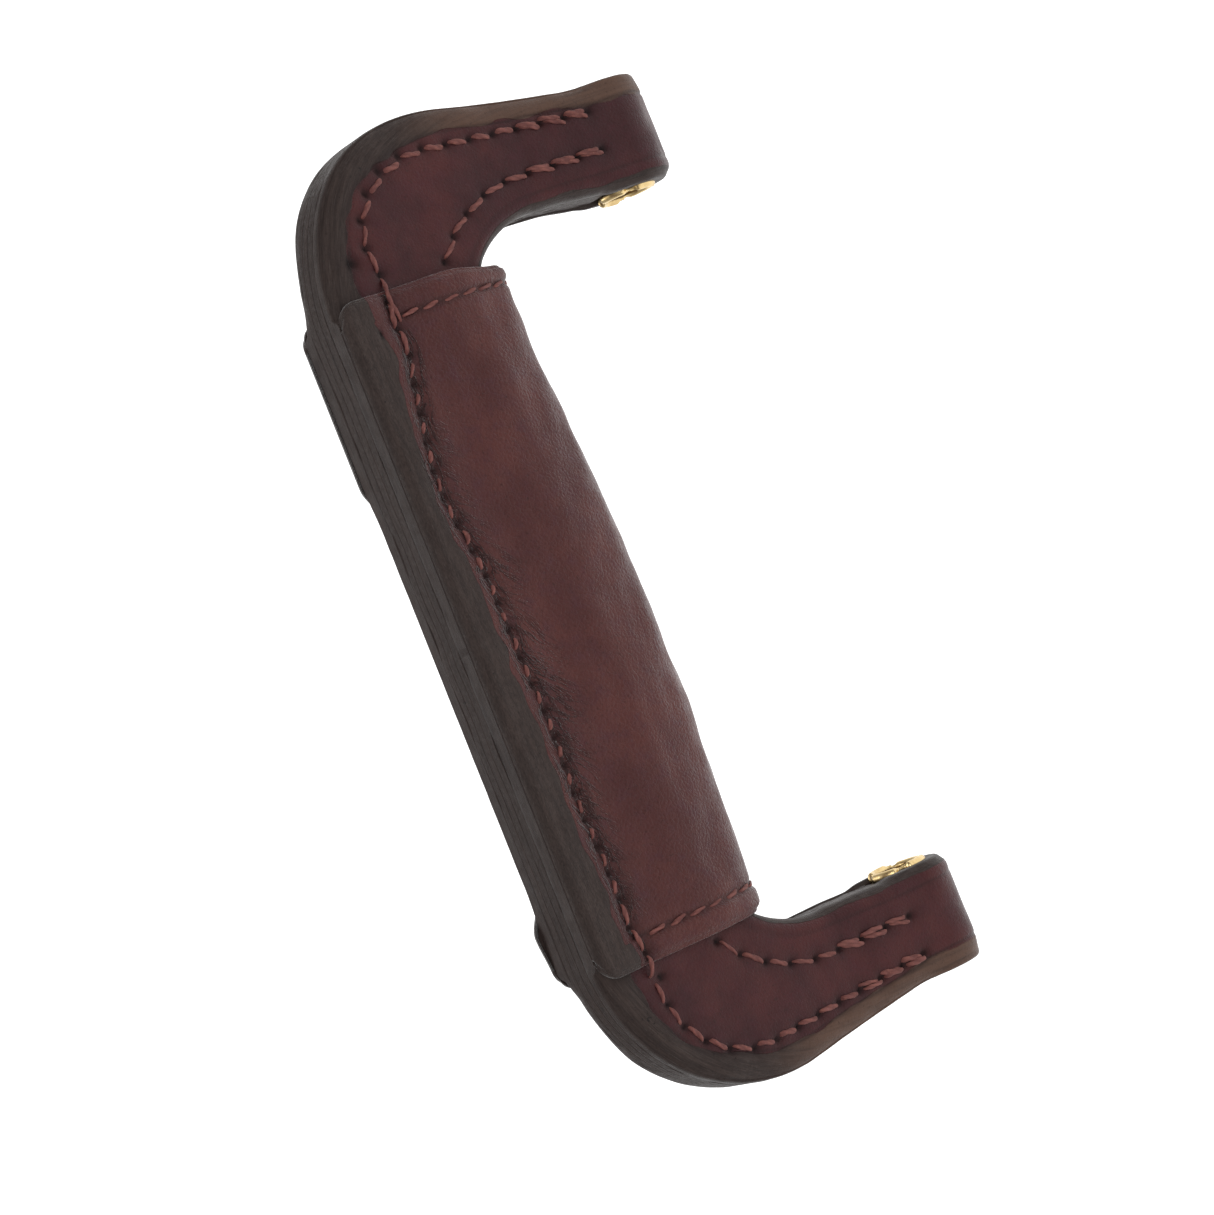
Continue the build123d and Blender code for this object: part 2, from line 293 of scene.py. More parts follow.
def fibre_colour(tree):
    """Burnished edge dye with fine fibres along the edge, and the height of those fibres."""
    flow = attribute(tree, "flow", "Vector")
    fine = noise(tree, 1.0, 5.0, 0.65, stretched(tree, flow, (0.45, 6.5, 6.5)))
    broad = noise(tree, 1.0, 4.0, 0.6, stretched(tree, flow, (0.05, 1.6, 1.6)))
    mixed = plus(tree, times(tree, fine, 0.6), times(tree, broad, 0.4))
    colour = mix_colour(tree, ramp(tree, mixed, 0.36, 0.68), EDGE_DARK, EDGE_LIGHT)
    thin = noise(tree, 1.0, 4.0, 0.7, stretched(tree, flow, (0.22, 12.0, 12.0)))
    colour = mix_colour(tree, ramp(tree, thin, 0.60, 0.72, 0.0, 0.55), colour, (0.105, 0.092, 0.084))
    dust = noise(tree, 1900.0, 3.0, 0.6)
    colour = mix_colour(tree, ramp(tree, dust, 0.66, 0.74, 0.0, 0.8), colour, (0.004, 0.003, 0.003))
    pitted = noise(tree, 520.0, 3.0, 0.6)
    colour = mix_colour(tree, ramp(tree, pitted, 0.70, 0.76, 0.0, 0.8), colour, (0.005, 0.003, 0.003))
    tan = attribute(tree, "tan")
    lighter = times(tree, tan, ramp(tree, broad, 0.2, 0.6, 0.5, 1.0))
    colour = mix_colour(tree, lighter, colour, EDGE_TAN)
    return colour, mixed


def ridge(tree, value, width):
    """Thin lines where a noise value crosses its middle."""
    off = math_node(tree, "ABSOLUTE", minus(tree, value, 0.5))
    return ramp(tree, off, 0.0, width, 1.0, 0.0)


def crease_lines(tree):
    """Fine creases that fan out from the long seam of the grip, and the pinched line itself: the mask
    that dents them and darkens them with painted shade.
    """
    fan = attribute(tree, "fan", "Vector")
    low_fan = attribute(tree, "low_fan", "Vector")
    reach = attribute(tree, "reach")
    pinch = attribute(tree, "pinch")
    below = attribute(tree, "below")
    wide = ridge(tree, noise(tree, 0.42, 4.0, 0.62, fan), 0.030)
    fine = ridge(tree, noise(tree, 0.85, 3.0, 0.62, fan), 0.032)
    low = ridge(tree, noise(tree, 0.70, 3.5, 0.65, low_fan), 0.050)
    fans = times(tree, math_node(tree, "MAXIMUM", wide, times(tree, fine, 0.6)), reach)
    rope = times(tree, low, pinch)
    stray = times(tree, minus(tree, noise(tree, 900.0, 3.0, 0.6), 0.5), 1.3)
    line = ramp(tree, math_node(tree, "ABSOLUTE", plus(tree, below, stray)), 0.12, 0.40, 0.90, 0.0)
    return math_node(tree, "MAXIMUM", math_node(tree, "MAXIMUM", fans, rope), line)


def leather_material(name, deep, warm, third, grain_size, grain_depth, rough, creased_seam=False):
    material, tree, shader = new_material(name)
    cloud = noise(tree, 90.0, 4.0, 0.6)
    mottled = noise(tree, 520.0, 5.0, 0.65)
    tone = mix_colour(tree, ramp(tree, cloud, 0.35, 0.68), deep, warm)
    tone = mix_colour(tree, ramp(tree, mottled, 0.42, 0.75, 0.0, 0.55), tone, third)
    burn = attribute(tree, "burn")
    hole = attribute(tree, "hole")
    shade = attribute(tree, "shade")
    edge, fibres = fibre_colour(tree)
    speck = noise(tree, 2100.0, 4.0, 0.7)
    boundary = plus(tree, burn, times(tree, minus(tree, mottled, 0.5), 0.5))
    dyed = ramp(tree, boundary, 0.40, 0.62)
    colour = mix_colour(tree, dyed, tone, edge)
    colour = mix_colour(tree, ramp(tree, speck, 0.54, 0.74, 0.0, 0.50), colour, (0.014, 0.005, 0.004))
    colour = mix_colour(tree, shade, colour, (0.010, 0.003, 0.003))
    # painted shade: near black in the stitch holes and the wrap's nick, where their shadow would lie
    colour = mix_colour(tree, hole, colour, (0.002, 0.001, 0.001))
    lines = None
    if creased_seam:
        lines = crease_lines(tree)
        # painted shade: the creases and the pinched seam line are darkened as shade in them would look
        colour = mix_colour(tree, times(tree, lines, 0.92), colour, (0.013, 0.0024, 0.0020))
    cells = voronoi(tree, grain_size, "F1")
    creased = voronoi(tree, grain_size * 0.9, "DISTANCE_TO_EDGE", shifted(tree, grain_size))
    grain = plus(tree, times(tree, cells, -0.6), times(tree, ramp(tree, creased, 0.0, 0.18), 0.25))
    grain = plus(tree, grain, times(tree, speck, 0.5))
    plain = minus(tree, 1.0, dyed)
    pores = plus(tree, fibres, noise(tree, 1100.0, 5.0, 0.7))
    cut = times(tree, times(tree, pores, 0.13 / grain_depth), dyed)
    height = plus(tree, times(tree, grain, plain), cut)
    first = bump(tree, height, 0.85, grain_depth * MM)
    dents = noise(tree, 260.0, 3.0, 0.5)
    second = bump(tree, dents, 0.35, 0.22 * MM, first)
    if lines is not None:
        second = bump(tree, times(tree, lines, -1.0), 0.7, 0.25 * MM, second)
    worn = noise(tree, 340.0, 4.0, 0.6)
    shine = ramp(tree, worn, 0.3, 0.75, rough - 0.08, rough + 0.10)
    dull = plus(tree, shine, times(tree, hole, 0.4))
    dull = plus(tree, dull, times(tree, dyed, 0.12))
    sheen = 0.32 if creased_seam else 0.06
    wire(tree, shader, colour, second, dull, specular=0.16, sheen=sheen, sheen_rough=0.35)
    return material


def core_material():
    material, tree, shader = new_material("core_leather")
    edge, fibres = fibre_colour(tree)
    speck = noise(tree, 1500.0, 4.0, 0.7)
    colour = mix_colour(tree, ramp(tree, speck, 0.55, 0.75, 0.0, 0.5), edge, (0.014, 0.010, 0.008))
    pores = noise(tree, 1100.0, 5.0, 0.7)
    grain = plus(tree, times(tree, fibres, 0.7), times(tree, pores, 0.9))
    rough = ramp(tree, speck, 0.3, 0.7, 0.42, 0.60)
    wire(tree, shader, colour, bump(tree, grain, 0.8, 0.16 * MM), rough, specular=0.13)
    return material


def thread_material():
    material, tree, shader = new_material("waxed_thread")
    fibre = noise(tree, 2200.0, 4.0, 0.65)
    blotch = noise(tree, 420.0, 3.0, 0.6)
    ply_groove_shade = attribute(tree, "ply_groove_shade")
    colour = mix_colour(tree, ramp(tree, blotch, 0.3, 0.7), (0.105, 0.030, 0.026), (0.170, 0.056, 0.047))
    colour = mix_colour(tree, ramp(tree, fibre, 0.45, 0.75, 0.0, 0.6), colour, (0.24, 0.095, 0.070))
    # painted shade: the grooves between the thread's twisted plies are darkened
    colour = mix_colour(tree, times(tree, ply_groove_shade, 0.55), colour, (0.060, 0.014, 0.012))
    rough = ramp(tree, fibre, 0.3, 0.7, 0.50, 0.72)
    wire(tree, shader, colour, bump(tree, fibre, 0.7, 0.12 * MM), rough, specular=0.25, sheen=0.05)
    return material


def brass_material():
    material, tree, shader = new_material("brass")
    stain = noise(tree, 700.0, 4.0, 0.6)
    colour = mix_colour(tree, ramp(tree, stain, 0.4, 0.8), (0.66, 0.50, 0.25), (0.46, 0.32, 0.14))
    scratch = noise(tree, 1.0, 3.0, 0.6, stretched(tree, object_space(tree), (400, 3500, 3500)))
    rough = ramp(tree, stain, 0.3, 0.7, 0.20, 0.38)
    wire(tree, shader, colour, bump(tree, scratch, 0.3, 0.05 * MM), rough, metallic=1.0)
    return material


def felt_material():
    material, tree, shader = new_material("felt")
    fibre = noise(tree, 1800.0, 6.0, 0.7, distortion=1.5)
    colour = mix_colour(tree, ramp(tree, fibre, 0.3, 0.7), (0.20, 0.18, 0.16), (0.42, 0.40, 0.36))
    tree.links.new(colour, shader.inputs["Base Color"])
    tree.links.new(bump(tree, fibre, 0.9, 0.3 * MM), shader.inputs["Normal"])
    shader.inputs["Roughness"].default_value = 0.95
    return material


body_leather = leather_material("bridle_leather", BODY_DEEP, BODY_WARM, BODY_VIOLET, 2600.0, 0.08, 0.40)
wrap_leather = leather_material(
    "wrap_leather", WRAP_DEEP, WRAP_WARM, WRAP_VIOLET, 2000.0, 0.17, 0.40, creased_seam=True)
core_leather = core_material()
thread = thread_material()
brass = brass_material()
felt = felt_material()


# ---------------------------------------------------------------- stitch paths
def outer_path(s):
    straight = SEAM_CZ - SEAM_LOW
    turn = SEAM_R * math.pi / 2
    if s < straight:
        return SEAM_X - SEAM_LEAN * (straight - s), SEAM_LOW + s
    if s < straight + turn:
        angle = (s - straight) / SEAM_R
        return SEAM_CX + SEAM_R * math.cos(angle), SEAM_CZ + SEAM_R * math.sin(angle)
    return SEAM_CX - (s - straight - turn), GRIP_SEAM_Z


def inner_path(s):
    straight = INNER_SEAM_CZ - INNER_SEAM_LOW
    if s < straight:
        return INNER_SEAM_CX + INNER_SEAM_R, INNER_SEAM_LOW + s
    angle = (s - straight) / INNER_SEAM_R
    across, up = INNER_SEAM_R * math.cos(angle), INNER_SEAM_R * math.sin(angle)
    return INNER_SEAM_CX + across, INNER_SEAM_CZ + up


def along(path, length):
    count = math.ceil(length / PITCH - 0.5)
    return [path(length * i / count) for i in range(count + 1)]


half_row = along(outer_path, SEAM_CZ - SEAM_LOW + SEAM_R * math.pi / 2 + SEAM_CX)
inner_turn = math.acos((INNER_SEAM_END - INNER_SEAM_CX) / INNER_SEAM_R)
inner_row = along(inner_path, INNER_SEAM_CZ - INNER_SEAM_LOW + INNER_SEAM_R * inner_turn)
outer_row = np.array(half_row + [(-x, z) for x, z in half_row[-2::-1]])
inner_row = np.array(inner_row)


def waver(x):
    """How far the long seam strays from its line along the grip."""
    hump = 1.9 * bell(x, 20.0, 11.0) - 1.6 * bell(x, 40.5, 4.5)
    return 0.90 + hump + 0.20 * np.sin(x * 0.27 + 2.0)


for i in range(len(outer_row)):
    x = outer_row[i, 0]
    if abs(x) < 44:
        outer_row[i, 1] += waver(x)
    outer_row[i, 1] -= 1.5 * bell(x, 50.5, 3.2)
STRAY_HOLE = (52.8, 56.1)
NO_HOLE = 9.0
body_holes = np.concatenate([outer_row, inner_row, inner_row * (-1, 1)])


# ---------------------------------------------------------------- the flat body's outline
def corner_angle():
    dx, dz = LOOP_OUT - CORNER_X, LOOP_TOP - CORNER_Z
    return math.atan2(dz, dx) + math.acos(CORNER_R / math.hypot(dx, dz))


END_ANGLE = corner_angle()
TOUCH_Z = EYE_Z + LOOP_R * math.sin(FLARE)


def face_y(z):
    lean = LOOP_R * math.cos(FLARE) - (z - TOUCH_Z) * math.tan(FLARE)
    blend = np.log(np.exp((lean - BODY_HALF) * 6) + 1) / 6
    return BODY_HALF + np.where(lean - BODY_HALF > 4, lean - BODY_HALF, blend)


def quarter(low_z=TOUCH_Z, step=0.4, fold=True):
    """Stations from the middle of the grip down one arm: inner x, z, outer x, z, fold angle."""
    rows = []
    corner_x = CORNER_X + CORNER_R * math.cos(END_ANGLE)
    corner_z = CORNER_Z + CORNER_R * math.sin(END_ANGLE)
    for t in np.linspace(0, 1, 46)[:-1]:
        rows.append((INNER_X * t, INNER_Z + INNER_R, CORNER_X * t, TOP_Z, 0))
    for t in np.linspace(0, 1, round(34 / step))[:-1]:
        a = math.pi / 2 * (1 - t)
        b = math.pi / 2 + (END_ANGLE - math.pi / 2) * t
        rows.append((
            INNER_X + INNER_R * math.cos(a), INNER_Z + INNER_R * math.sin(a),
            CORNER_X + CORNER_R * math.cos(b), CORNER_Z + CORNER_R * math.sin(b), 0,
        ))
    for t in np.linspace(0, 1, round(15 / step))[:-1]:
        rows.append((
            LOOP_IN, INNER_Z + (LOOP_TOP - INNER_Z) * t,
            corner_x + (LOOP_OUT - corner_x) * t, corner_z + (LOOP_TOP - corner_z) * t, 0,
        ))
    for t in np.linspace(0, 1, round((LOOP_TOP - low_z) / step) + 2)[: -1 if fold else None]:
        z = LOOP_TOP + (low_z - LOOP_TOP) * t
        rows.append((LOOP_IN, z, LOOP_OUT, z, 0))
    if fold:
        for t in np.linspace(0, 1, round(LOOP_R * 1.68 / step)):
            rows.append((LOOP_IN, low_z, LOOP_OUT, low_z, (math.pi / 2 + FLARE) * t))
    return np.array(rows)


def place(rows, side, mirror, across, depth):
    """Points of stations x section: across in 0..1 from the inner edge, depth below the outside."""
    ix, iz, ox, oz, psi = (rows[:, k][:, None] for k in range(5))
    x = ix + (ox - ix) * across
    z = iz + (oz - iz) * across
    y = face_y(z) - depth
    turn = FLARE - psi
    folded = psi > 1e-9
    radius = LOOP_R - depth
    y = np.where(folded, radius * np.cos(turn), y)
    z = np.where(folded, EYE_Z + radius * np.sin(turn), z)
    return np.stack([x * mirror, y * side, z], -1)


def ring_stations():
    """The cover's closed ring: quarter stations with the side and mirror sign of each."""
    q = quarter()
    return [(q[:-1], -1, 1), (q[:0:-1], 1, 1), (q[:-1], 1, -1), (q[:0:-1], -1, -1)]


def nearest(points, holes):
    gap = points[:, None, :] - holes[None, :, :]
    return np.sqrt((gap**2).sum(-1)).min(1)


# the cover leather's section, part by part: points on each part, and whether its ends are left out
COVER_SECTION = (
    ("face", 46, False), ("outer", 12, True), ("wall", 6, False),
    ("back", 8, True), ("inwall", 5, False), ("inner", 10, True),
)


def cover_profile():
    """Section of the cover leather as (part, share along that part) pairs."""
    profile = []
    for part, count, open_ended in COVER_SECTION:
        shares = np.linspace(0, 1, count)
        profile += [(part, t) for t in (shares[1:-1] if open_ended else shares)]
    return profile


def cover_section(rows, profile, width):
    """Each section point's distance from the inner edge, and its depth below the outside."""
    across = np.zeros((len(rows), len(profile)))
    depth = np.zeros_like(across)
    outer_a, outer_d, inner_a, inner_d = edge_rounding(rows)
    for j, (part, t) in enumerate(profile):
        a = t * math.pi / 2
        if part == "face":
            across[:, j] = inner_a + (width - inner_a - outer_a) * t
        elif part == "outer":
            across[:, j] = width - outer_a + outer_a * math.sin(a)
            depth[:, j] = outer_d * (1 - math.cos(a))
        elif part == "wall":
            across[:, j] = width
            depth[:, j] = outer_d + (COVER_T - outer_d) * t
        elif part == "back":
            across[:, j] = width * (1 - t)
            depth[:, j] = COVER_T
        elif part == "inwall":
            depth[:, j] = COVER_T + (inner_d - COVER_T) * t
        else:
            across[:, j] = inner_a * (1 - math.cos(a))
            depth[:, j] = inner_d * (1 - math.sin(a))
    return across, depth


def hole_distance(flat, rows, side, mirror):
    """Distance to the nearest stitch hole, on the flat sides alone."""
    plan = np.stack([np.abs(flat[..., 0]), flat[..., 2]], -1).reshape(-1, 2)
    on_flat = np.repeat(rows[:, 4] <= 1e-9, flat.shape[1])
    far = np.full(len(plan), NO_HOLE)
    far[on_flat] = nearest(plan[on_flat], body_holes[body_holes[:, 0] > 0])
    far = far.reshape(flat.shape[:2])
    if side < 0 and mirror > 0:
        stray = np.hypot(flat[..., 0] - STRAY_HOLE[0], flat[..., 2] - STRAY_HOLE[1])
        far = np.minimum(far, stray * 0.65)
    return far


def swell_round_tube(points, from_edge, across, mirror):
    """The loop's cut edges stand out a little round the tube's rolled ends."""
    from_tube = np.hypot(points[..., 1], points[..., 2] - EYE_Z)
    nearer_outer = from_edge < across
    swell = np.where(nearer_outer, 0.15, 0.30) * smooth(8.4 - from_tube, 0.0, 2.2)
    on_wall = smooth(0.5 - np.minimum(from_edge, across), 0.0, 0.4)
    points[..., 0] += swell * on_wall * np.where(nearer_outer, 1.0, -1.0) * mirror


def uneven(points):
    """The two outer corners differ a little, and the back edge lies a little lower."""
    x, y, z = points[..., 0], points[..., 1], points[..., 2]
    dx, dz = np.abs(x) - CORNER_X, z - CORNER_Z
    angle = np.arctan2(dz, dx)
    far = np.hypot(dx, dz)
    rim = smooth(far, 17.0, 24.0) * bell(angle, 0.60, 0.50) * (z > 25)
    push = rim * np.where(x > 0, 1.45, 0.15)
    near_inner = np.hypot(np.abs(x) - INNER_X, z - INNER_Z)
    inner_rim = (1 - smooth(near_inner, INNER_R, INNER_R + 7.0)) * smooth(np.abs(x), 44.0, 48.0)
    inner_rim = inner_rim * smooth(z, 12.0, 20.0)
    push_in = inner_rim * np.where(x > 0, 0.75, -0.35)
    ends = 0.8 * smooth(np.abs(x), 46.0, 50.0)
    middle = 0.3 * smooth(25.0 - x, 0.0, 6.0) * smooth(x + 40.0, 0.0, 6.0)
    back = smooth(y, 1.0, 5.0) * smooth(z, 56.0, 61.0) * (ends + middle)
    fold = 0.5 * (x > 0) * smooth(2.2 - z, 0.0, 2.0)
    moved = points.copy()
    moved[..., 0] += np.sign(x) * (push * np.cos(angle) + push_in * 0.8)
    moved[..., 2] += push * np.sin(angle) + push_in * 0.6 - back - fold
    return moved


def edge_rounding(rows):
    """How far each station's cut edges are rounded: across and in depth, outer then inner."""
    under_wrap = smooth(46.9 - rows[:, 2], 0.0, 1.2)
    loop = smooth(15.0 - rows[:, 3], 0.0, 7.0)
    outer_a = (2.7 - 2.2 * loop) * (1 - 0.94 * under_wrap)
    outer_d = (1.9 - 1.4 * loop) * (1 - 0.90 * under_wrap)
    inner_a = 2.3 - 0.7 * loop
    inner_d = 2.3 - 0.7 * loop
    return outer_a, outer_d, inner_a, inner_d


def cover_piece():
    profile = cover_profile()
    columns = len(profile)
    low_noise, edge_noise = Waves(9.0, 3), Waves(5.0, 5)
    verts, marks = [], {"burn": [], "hole": [], "shade": [], "tan": [], "flow": []}
    run = 0.0
    for rows, side, mirror in ring_stations():
        width = np.hypot(rows[:, 2] - rows[:, 0], rows[:, 3] - rows[:, 1])
        across, depth = cover_section(rows, profile, width)
        width = width[:, None]
        flat = place(rows, side, mirror, across / width, np.zeros_like(across))
        x, z = np.abs(flat[..., 0]), flat[..., 2]
        outside = depth < COVER_T - 0.05
        from_edge = width - across
        nearer_outer = from_edge < across
        far = hole_distance(flat, rows, side, mirror)
        pit, pull = bell(far, 0, 0.50), bell(far, 0, 1.5)
        # the burnished band along the outer edge, with a creased line beside each edge
        corner = bell(x, 62, 8.0) * smooth(z, 44, 52)
        band = 3.0 + 1.2 * smooth(z, 14, 34) + 1.6 * smooth(47.0 - x, -8.0, 6.0) - 0.9 * corner
        wobble = 0.25 * edge_noise(flat)
        slope = smooth(band - from_edge, -0.2, band)
        groove, in_groove = bell(from_edge, band - wobble * 0.4, 0.26), bell(across, 2.5, 0.24)
        sink = 0.30 * slope + 0.14 * groove + 0.08 * in_groove + 0.55 * pit + 0.12 * pull
        sink = (sink + 0.07 * low_noise(flat)) * outside * smooth(x, 45.6, 47.4)
        depth = depth + sink * (depth < 1.1)
        trim = (1.0 + 0.10 * edge_noise(flat * 1.7)) * 0.12
        across = across - np.where(from_edge < 0.6, trim, 0)
        points = uneven(place(rows, side, mirror, across / width, depth))
        swell_round_tube(points, from_edge, across, mirror)
        verts.append(points.reshape(-1, 3))
        soft = 0.45 + 0.75 * smooth(24.0 - z, 0.0, 10.0)
        burned = np.maximum(
            smooth((band + wobble - from_edge) / soft, -1.0, 1.0),
            smooth(0.9 + 0.5 * wobble - across, -0.7, 0.5),
        )
        arm = smooth(44.0 - z, 0.0, 14.0) * smooth(3.2 - depth, 0.0, 2.0)
        steps = np.linalg.norm(np.diff(points[:, columns // 4], axis=0), axis=1)
        length = run + np.concatenate([[0], np.cumsum(steps)])
        run = length[-1] + steps[-1]
        marks["burn"].append(np.where(outside, burned, 1.0).ravel())
        # the hole mask paints shade into each stitch hole
        marks["hole"].append((0.95 * pit * outside).ravel())
        marks["shade"].append((0.35 * pull + 0.55 * groove + 0.4 * in_groove).clip(0, 0.8).ravel())
        marks["tan"].append((0.9 * arm * nearer_outer).ravel())
        along_edge = np.broadcast_to(length[:, None], across.shape)
        marks["flow"].append(np.stack([along_edge, across, depth], -1).reshape(-1, 3))
    verts = np.concatenate(verts)
    faces = grid_faces(len(verts) // columns, columns, True, True)
    attributes = {key: np.concatenate(values) for key, values in marks.items()}
    return add_mesh("cover", verts, faces, body_leather, ["cover"], attributes)


PLY_GAP, PLY_CORNER = 0.004, 0.16


def core_piece(name, sign):
    """One core layer: sign -1 front, 0 middle, 1 back."""
    q = quarter(low_z=CORE_LOW, fold=False)
    rows = np.concatenate([q[::-1] * (-1, 1, -1, 1, 1), q[1:]])
    width = np.hypot(rows[:, 2] - rows[:, 0], rows[:, 3] - rows[:, 1])[:, None]
    trim_out, trim_in = Waves(7.0, 20), Waves(6.0, 29 + sign)
    share = [(t, 0.0) for t in np.linspace(0, 1, 14)]
    share += [(1.0, t) for t in np.linspace(0, 1, 9)[1:-1]]
    share += [(1 - t, 1.0) for t in np.linspace(0, 1, 14)]
    share += [(0.0, 1 - t) for t in np.linspace(0, 1, 9)[1:-1]]
    across_share = np.array([s[0] for s in share])[None, :]
    thick_share = np.array([s[1] for s in share])[None, :]
    ix, iz, ox, oz = (rows[:, k][:, None] for k in range(4))
    across = across_share * width
    z = iz + (oz - iz) * across_share
    outer_y = face_y(z) - COVER_T - PLY_GAP
    inner_y = outer_y - CORE_T + 2 * PLY_GAP
    if sign == 0:
        low, high = -inner_y + PLY_GAP, inner_y - PLY_GAP
    elif sign < 0:
        low, high = -outer_y, -inner_y
    else:
        low, high = inner_y, outer_y
    y = low + (high - low) * thick_share
    near_face = np.minimum(thick_share, 1 - thick_share) * (high - low)
    dip = 0.012 * np.clip(1 - near_face / PLY_CORNER, 0, 1) ** 2
    centre = np.stack([ix + (ox - ix) * across_share, y, z], -1)
    shrink_out = 0.10 + 0.05 * trim_out(centre * (1, 0.5, 1)) + dip
    shrink_in = 0.22 + 0.05 * trim_in(centre * (1, 0.1, 1)) + dip
    across = np.where(across_share > 0.97, across - shrink_out, across)
    across = np.where(across_share < 0.03, across + shrink_in, across)
    part = across / width
    points = uneven(np.stack([ix + (ox - ix) * part, y, iz + (oz - iz) * part], -1))
    steps = np.linalg.norm(np.diff(points[:, 18], axis=0), axis=1)
    length = np.concatenate([[0], np.cumsum(steps)])
    flow = np.stack([np.broadcast_to(length[:, None], y.shape), y, across * 0.4], -1).reshape(-1, 3)
    columns = len(share)
    faces = grid_faces(len(rows), columns, False, True)
    first = list(range(columns))
    last = [(len(rows) - 1) * columns + j for j in range(columns)]
    faces += [first[::-1], last]
    points = points.reshape(-1, 3)
    return add_mesh(name, points, faces, core_leather, [name], {"flow": flow})


# ---------------------------------------------------------------- the grip
def hermite(points, samples):
    """Even samples on a smooth curve through the points, vertical at both ends."""
    points = np.asarray(points, float)
    gaps = np.linalg.norm(np.diff(points, axis=0), axis=1)
    knots = np.concatenate([[0], np.cumsum(gaps)])
    slopes = np.gradient(points, knots, axis=0)
    slopes[0] = (0, -1)
    slopes[-1] = (0, 1)
    fine = np.linspace(0, knots[-1], 400)
    index = np.clip(np.searchsorted(knots, fine, side="right") - 1, 0, len(knots) - 2)
    h = (knots[index + 1] - knots[index])[:, None]
    t = ((fine - knots[index])[:, None]) / h
    a, b = points[index], points[index + 1]
    ma, mb = slopes[index] * h, slopes[index + 1] * h
    curve = (
        (2 * t**3 - 3 * t**2 + 1) * a + (t**3 - 2 * t**2 + t) * ma
        + (-2 * t**3 + 3 * t**2) * b + (t**3 - t**2) * mb
    )
    return resample(curve, samples)


def resample(curve, samples):
    gaps = np.linalg.norm(np.diff(curve, axis=0), axis=1)
    knots = np.concatenate([[0], np.cumsum(gaps)])
    even = np.linspace(0, knots[-1], samples)
    return np.stack([np.interp(even, knots, curve[:, k]) for k in range(curve.shape[1])], -1)


FACE_ROWS, BELLY_ROWS = 30, 130


def grip_outline(x, shrink=0.0):
    """(y, z) points round the grip at x, from the front raw edge to the back raw edge."""
    share = 1 - (x / WRAP_X) ** 2
    bulge = END_BULGE + (MID_BULGE - END_BULGE) * share - shrink
    low = END_LOW + (MID_LOW - END_LOW) * share + shrink
    low += 1.1 * bell(x, 30.0, 12.0) - 0.45 * smooth(-x, -9.0, 12.0)
    low -= 0.5 * smooth(-x, 30.0, 44.0) + 0.5 * smooth(x, 41.0, 47.0)
    side = BODY_HALF + WRAP_T - shrink
    lift = low + (SWELL_Z - low) * 0.22
    belly = hermite([
        (-side, SHOULDER_Z), (-bulge, SWELL_Z), (-bulge * 0.62, lift), (0, low),
        (bulge * 0.62, lift), (bulge, SWELL_Z), (side, SHOULDER_Z)], BELLY_ROWS)
    round_r = 1.45 if shrink == 0 else 0.05
    front = [(-side, z) for z in np.linspace(SHOULDER_Z, TOP_Z - round_r, 40)]
    front += [
        (-side + round_r * (1 - math.cos(a)), TOP_Z - round_r + round_r * math.sin(a))
        for a in np.linspace(0, math.pi / 2, 14)[1:]
    ]
    front = resample(np.array(front), FACE_ROWS)[::-1]
    back = front[::-1] * (-1, 1)
    return np.concatenate([front[:-1], belly, back[1:]])


def wrap_end(z):
    """Half length of the wrap at height z: its corners at the raw edge are rounded."""
    corner = 3.0
    rise = np.clip(z - (TOP_Z - corner), 0, corner - 0.01)
    return WRAP_X - (corner - np.sqrt(corner**2 - rise**2))


END_SLANT = 1.1
CREASE_PLANE, LOW_CREASE_PLANE = 5.0, 9.0


def sleeve_ply(shares, shrink):
    """One ply of the sleeve as rings of points along X: the right end leans in under the grip."""
    outline = np.array([grip_outline(x * WRAP_X, shrink) for x in shares])
    z = outline[..., 1]
    along_x = shares[:, None] * wrap_end(z)
    along_x -= END_SLANT * smooth(shares, 0.85, 1.0)[:, None] * smooth(45.0 - z, 0.0, 9.0)
    return np.stack([along_x, outline[..., 0], z], -1)


def sleeve_normals(centre):
    """Unit normals of the sleeve's rings, pointing away from the grip's middle."""
    section = centre[..., 1:]
    tangent = np.gradient(section, axis=1)
    tangent /= np.linalg.norm(tangent, axis=-1, keepdims=True)
    normal = np.stack([np.zeros(section.shape[:2]), -tangent[..., 1], tangent[..., 0]], -1)
    away = (section - (0, 48.0)) * normal[..., 1:]
    flip = np.sign(away.sum(-1, keepdims=True))
    return normal * np.where(flip == 0, 1, flip)


def turned_end(start, stop, sign):
    """The turned end of the sleeve, between its outer and its inner ply."""
    made = []
    for t in np.linspace(0, math.pi, 9)[1:-1]:
        blend = (1 - math.cos(t)) / 2
        ring = start * (1 - blend) + stop * blend
        ring[:, 0] += sign * 0.45 * math.sin(t)
        made.append(ring)
    return np.array(made)


def raw_edge_faces(n, turned, rows):
    """Quads that close both raw edges: the outer ply's last points joined to the inner ply's."""
    left_start = 2 * n + turned
    half = range(turned // 2 + 1)
    chain = [(left_start + turned - 1 - k, left_start + k) for k in half][::-1]
    chain += [(i, n + turned + n - 1 - i) for i in range(n)]
    chain += [(n + k, n + turned - 1 - k) for k in half]
    faces = []
    for row in (0, rows - 1):
        for (a0, b0), (a1, b1) in zip(chain, chain[1:]):
            quad = [k * rows + row for k in dict.fromkeys((a0, a1, b1, b0))]
            if len(quad) > 2:
                faces.append(quad if row == 0 else quad[::-1])
    return faces


